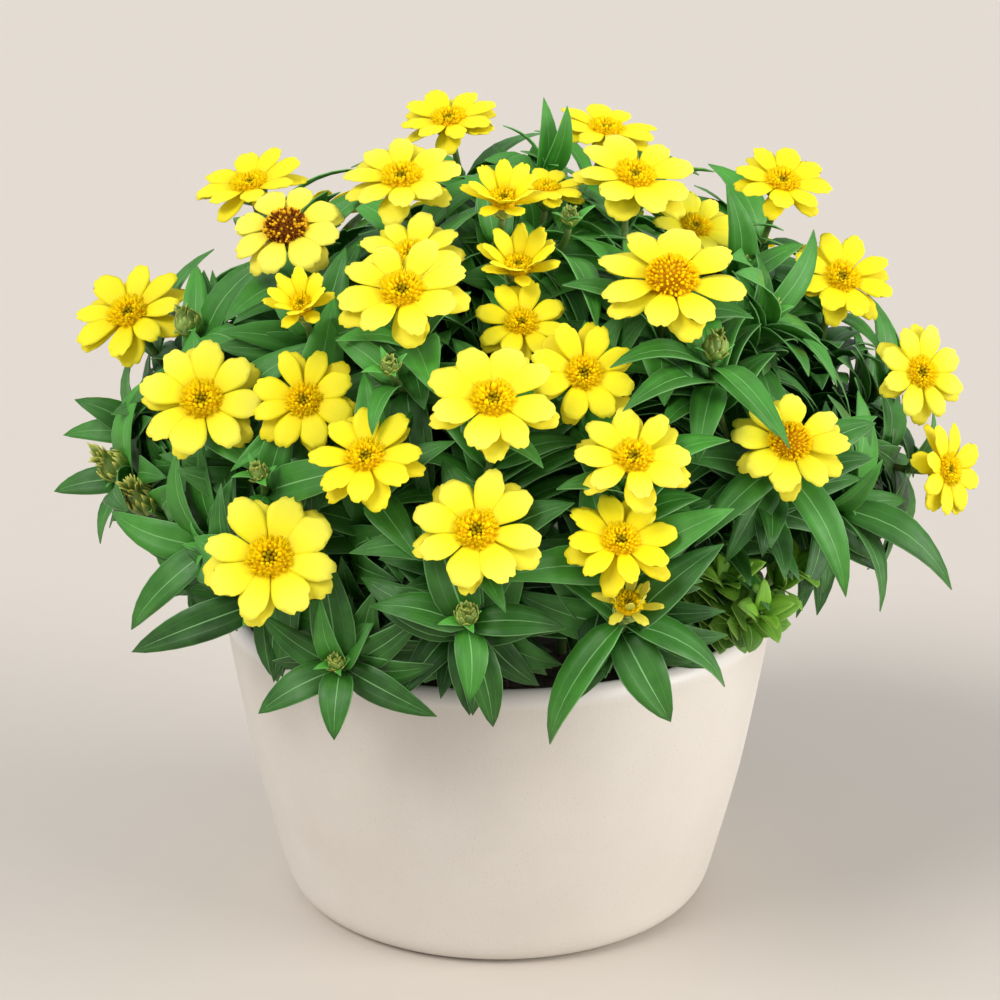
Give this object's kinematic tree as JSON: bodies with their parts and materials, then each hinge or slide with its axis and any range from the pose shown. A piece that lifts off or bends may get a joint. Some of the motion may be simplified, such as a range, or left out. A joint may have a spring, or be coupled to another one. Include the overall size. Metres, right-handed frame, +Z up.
{
  "type": "potted flowering plant",
  "caption": "Bushy flowering plant with yellow daisy-like flower heads and narrow green leaves, growing in soil in a round tapered pot.",
  "frame": {"origin": "centre of the pot's flat underside", "axes": "+Z up; -Y is the front, the side that the picture shows; +X is to the right as seen from the front"},
  "size_m": [0.4106, 0.3767, 0.3652],
  "materials": {
    "pot": "satin",
    "soil": "matte",
    "petals": "matte",
    "foliage": "satin",
    "sprig": "satin"
  },
  "bodies": {
    "root": {"pot": "pot", "soil": "soil", "bloom_b07": "petals", "bloom_b15": "petals", "bloom_b24": "petals", "bloom_b25": "petals", "bloom_b29": "petals", "bloom_b20": "petals", "bloom_b28": "petals", "bloom_b04": "petals", "bloom_b12": "petals", "bloom_b21": "petals", "bloom_b26": "petals", "bloom_b22": "petals", "bloom_b02": "petals", "bloom_b05": "petals", "bloom_b17": "petals", "bloom_b18": "petals", "bloom_b19": "petals", "bloom_b16": "petals", "bloom_b23": "petals", "bloom_b14": "petals", "bloom_b27": "petals", "bloom_b08": "petals", "bloom_b03": "petals", "bloom_b01": "petals", "bloom_b11": "petals", "bloom_b31": "petals", "bloom_b13": "petals", "bloom_b09": "petals", "bloom_b06": "petals", "bloom_b10": "petals", "bloom_b30": "petals", "bloom_k01": "petals", "bloom_k02": "petals", "bloom_k03": "petals", "bloom_k04": "petals", "bloom_k05": "petals", "bloom_k06": "petals", "bloom_k07": "petals", "bloom_k08": "petals", "bloom_k09": "petals", "stem_01": "foliage", "stem_02": "foliage", "stem_03": "foliage", "stem_04": "foliage", "stem_05": "foliage", "stem_06": "foliage", "stem_07": "foliage", "stem_08": "foliage", "stem_09": "foliage", "stem_10": "foliage", "stem_11": "foliage", "stem_12": "foliage", "stem_13": "foliage", "stem_14": "foliage", "stem_15": "foliage", "companion_sprig": "sprig"}
  },
  "joints": []
}
